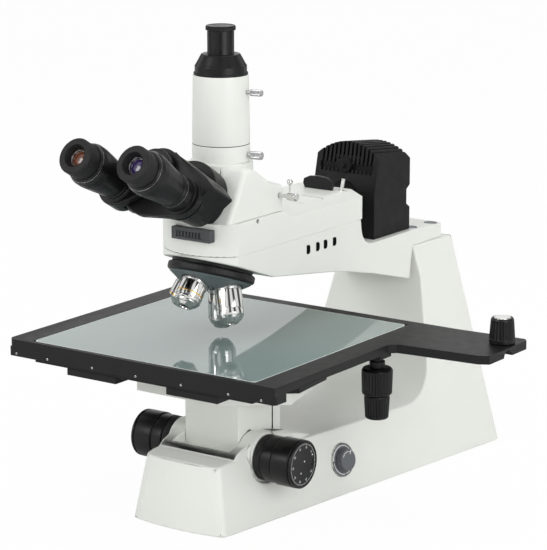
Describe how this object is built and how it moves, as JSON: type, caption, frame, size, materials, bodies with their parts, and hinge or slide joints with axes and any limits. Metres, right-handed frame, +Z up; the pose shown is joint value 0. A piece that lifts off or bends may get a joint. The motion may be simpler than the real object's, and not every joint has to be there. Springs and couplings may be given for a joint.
{
  "type": "industrial inspection microscope",
  "caption": "Upright reflected-light inspection microscope with a large travelling stage, tilted objective nosepiece, trinocular head and rear lamp house.",
  "frame": {"origin": "where the vertical optical axis meets the bench, on the underside of the middle foot", "axes": "+Z up along the optical axis, -Y towards the user, +X to the user's right"},
  "size_m": [0.462, 0.6201, 0.536],
  "materials": {
    "warm_white_paint": "satin powder coat",
    "black_anodised": "matt black anodised",
    "black_plastic": "fine satin",
    "chrome": "polished",
    "steel": "ground",
    "rubber": "matt",
    "grey_plastic": "satin",
    "grey_nosepiece": "satin anodised",
    "stage_glass": "clear, grey-green",
    "coated_lens": "coated"
  },
  "bodies": {
    "stand": {"stand_casting": "warm_white_paint", "rubber_feet": "rubber", "bottom_cover": "steel", "power_board": "grey_plastic", "power_panel": "black_plastic", "guide_rails": "steel", "shaft_collars": "black_plastic", "dial_plate": "grey_plastic", "arm_casting": "warm_white_paint", "bolt_plugs": "grey_plastic", "arm_cover": "warm_white_paint", "lamp_house": "black_anodised", "lamp_collar": "black_anodised", "lamp_bulb": "coated_lens", "nosepiece_mount": "black_anodised", "head_body": "warm_white_paint", "photo_tube": "warm_white_paint", "camera_sleeve": "black_anodised", "bino_hub": "black_anodised"},
    "rocker": {"power_rocker": "black_plastic"},
    "brightness": {"brightness_knob": "grey_plastic"},
    "carriage": {"focus_carriage": "warm_white_paint", "focus_rack": "steel", "support_plate": "warm_white_paint", "lower_plate": "black_anodised"},
    "coarse_drive": {"coarse_shaft": "steel", "coarse_knobs": "black_plastic"},
    "fine_drive": {"fine_knob_left": "black_plastic", "fine_knob_right": "black_plastic"},
    "y_slide": {"moving_y_rails": "black_anodised", "middle_plate": "black_anodised", "drive_neck": "black_anodised"},
    "y_knob": {"y_drive_knob": "black_plastic"},
    "x_knob": {"x_drive_knob": "black_plastic"},
    "stage": {"stage_frame": "black_anodised", "stage_glass": "stage_glass"},
    "clutch": {"clutch_knob": "black_plastic"},
    "turret": {"turret_rim": "black_anodised", "turret_body": "grey_nosepiece", "objective_a": "chrome", "objective_b": "chrome", "objective_c": "chrome", "objective_d": "chrome", "front_lenses": "coated_lens"},
    "slider": {"front_slider": "grey_plastic"},
    "aperture_lever": {"lever_pin": "chrome"},
    "filter_holder": {"filter_tab": "black_anodised"},
    "field_lever": {"flat_lever": "steel"},
    "upper_screw": {"clamp_screw_upper": "chrome"},
    "lower_screw": {"clamp_screw_lower": "chrome"},
    "dust_cap": {"photo_cap": "black_plastic"},
    "beam_rod": {"pull_rod": "chrome"},
    "left_eye": {"left_wing": "black_anodised", "left_eye_tube": "black_anodised", "left_eyepiece": "black_plastic", "left_eye_lens": "coated_lens"},
    "right_eye": {"right_wing": "black_anodised", "right_eye_tube": "black_anodised", "right_eyepiece": "black_plastic", "right_eye_lens": "coated_lens"}
  },
  "joints": [
    {"name": "focus_travel", "type": "slide", "parent": "stand", "child": "carriage", "axis": [0, 0, 1], "range_m": [-0.022, 0.006]},
    {"name": "coarse_turn", "type": "hinge", "parent": "stand", "child": "coarse_drive", "pos_m": [0, 0, 0.071], "axis": [1, 0, 0], "range_deg": [-211, 58]},
    {"name": "fine_turn", "type": "hinge", "parent": "stand", "child": "fine_drive", "pos_m": [0, 0, 0.071], "axis": [1, 0, 0], "continuous": true},
    {"name": "y_travel", "type": "slide", "parent": "carriage", "child": "y_slide", "axis": [0, 1, 0], "range_m": [-0.125, 0.125]},
    {"name": "y_knob_turn", "type": "hinge", "parent": "y_slide", "child": "y_knob", "pos_m": [0.15, 0.078, 0.15], "axis": [0, 0, 1], "range_deg": [-1120, 1120]},
    {"name": "x_travel", "type": "slide", "parent": "y_slide", "child": "stage", "axis": [1, 0, 0], "range_m": [-0.125, 0.125]},
    {"name": "x_knob_turn", "type": "hinge", "parent": "y_slide", "child": "x_knob", "pos_m": [0.15, 0.078, 0.125], "axis": [0, 0, 1], "range_deg": [-1120, 1120]},
    {"name": "clutch_turn", "type": "hinge", "parent": "stage", "child": "clutch", "pos_m": [0.27, 0.137, 0.21], "axis": [0, 0, 1], "range_deg": [0, 90]},
    {"name": "nosepiece_turn", "type": "hinge", "parent": "stand", "child": "turret", "pos_m": [0, -0.019, 0.272], "axis": [0, -0.342, -0.9397], "continuous": true},
    {"name": "left_eye_swing", "type": "hinge", "parent": "stand", "child": "left_eye", "pos_m": [0, -0.1898, 0.44079], "axis": [0, -0.866, 0.5], "range_deg": [0, 20]},
    {"name": "right_eye_swing", "type": "hinge", "parent": "stand", "child": "right_eye", "pos_m": [0, -0.1898, 0.44079], "axis": [0, -0.866, 0.5], "range_deg": [-20, 0]},
    {"name": "beam_rod_pull", "type": "slide", "parent": "stand", "child": "beam_rod", "axis": [1, 0, 0], "range_m": [0, 0.012]},
    {"name": "dust_cap_lift", "type": "slide", "parent": "stand", "child": "dust_cap", "axis": [0, 0, 1], "range_m": [0, 0.06]},
    {"name": "upper_screw_turn", "type": "hinge", "parent": "stand", "child": "upper_screw", "pos_m": [0.02167, 0.00382, 0.4665], "axis": [0.9848, 0.1736, 0], "range_deg": [0, 720]},
    {"name": "lower_screw_turn", "type": "hinge", "parent": "stand", "child": "lower_screw", "pos_m": [0.02167, 0.00382, 0.3995], "axis": [0.9848, 0.1736, 0], "range_deg": [0, 720]},
    {"name": "front_slider_slide", "type": "slide", "parent": "stand", "child": "slider", "axis": [1, 0, 0], "range_m": [-0.012, 0.012]},
    {"name": "aperture_lever_slide", "type": "slide", "parent": "stand", "child": "aperture_lever", "axis": [1, 0, 0], "range_m": [0, 0.04]},
    {"name": "filter_holder_lift", "type": "slide", "parent": "stand", "child": "filter_holder", "axis": [0, 0, 1], "range_m": [0, 0.03]},
    {"name": "field_lever_swing", "type": "hinge", "parent": "stand", "child": "field_lever", "pos_m": [0.0272, 0.188, 0.3195], "axis": [0, 1, 0], "range_deg": [-8, 8]},
    {"name": "brightness_turn", "type": "hinge", "parent": "stand", "child": "brightness", "pos_m": [0.07708, 0.122, 0.04], "axis": [0.9736, -0.1073, 0.2015], "range_deg": [-135, 135]},
    {"name": "rocker_flip", "type": "hinge", "parent": "stand", "child": "rocker", "pos_m": [0.01, 0.40178, 0.03], "axis": [1, 0, 0], "range_deg": [0, 16]}
  ],
  "couplings": [
    {"joint": "coarse_turn", "follows": "focus_travel", "rad_per_m": 166.67},
    {"joint": "y_knob_turn", "follows": "y_travel", "rad_per_m": 156.25},
    {"joint": "x_knob_turn", "follows": "x_travel", "rad_per_m": 156.25},
    {"joint": "right_eye_swing", "follows": "left_eye_swing", "ratio": -1}
  ]
}
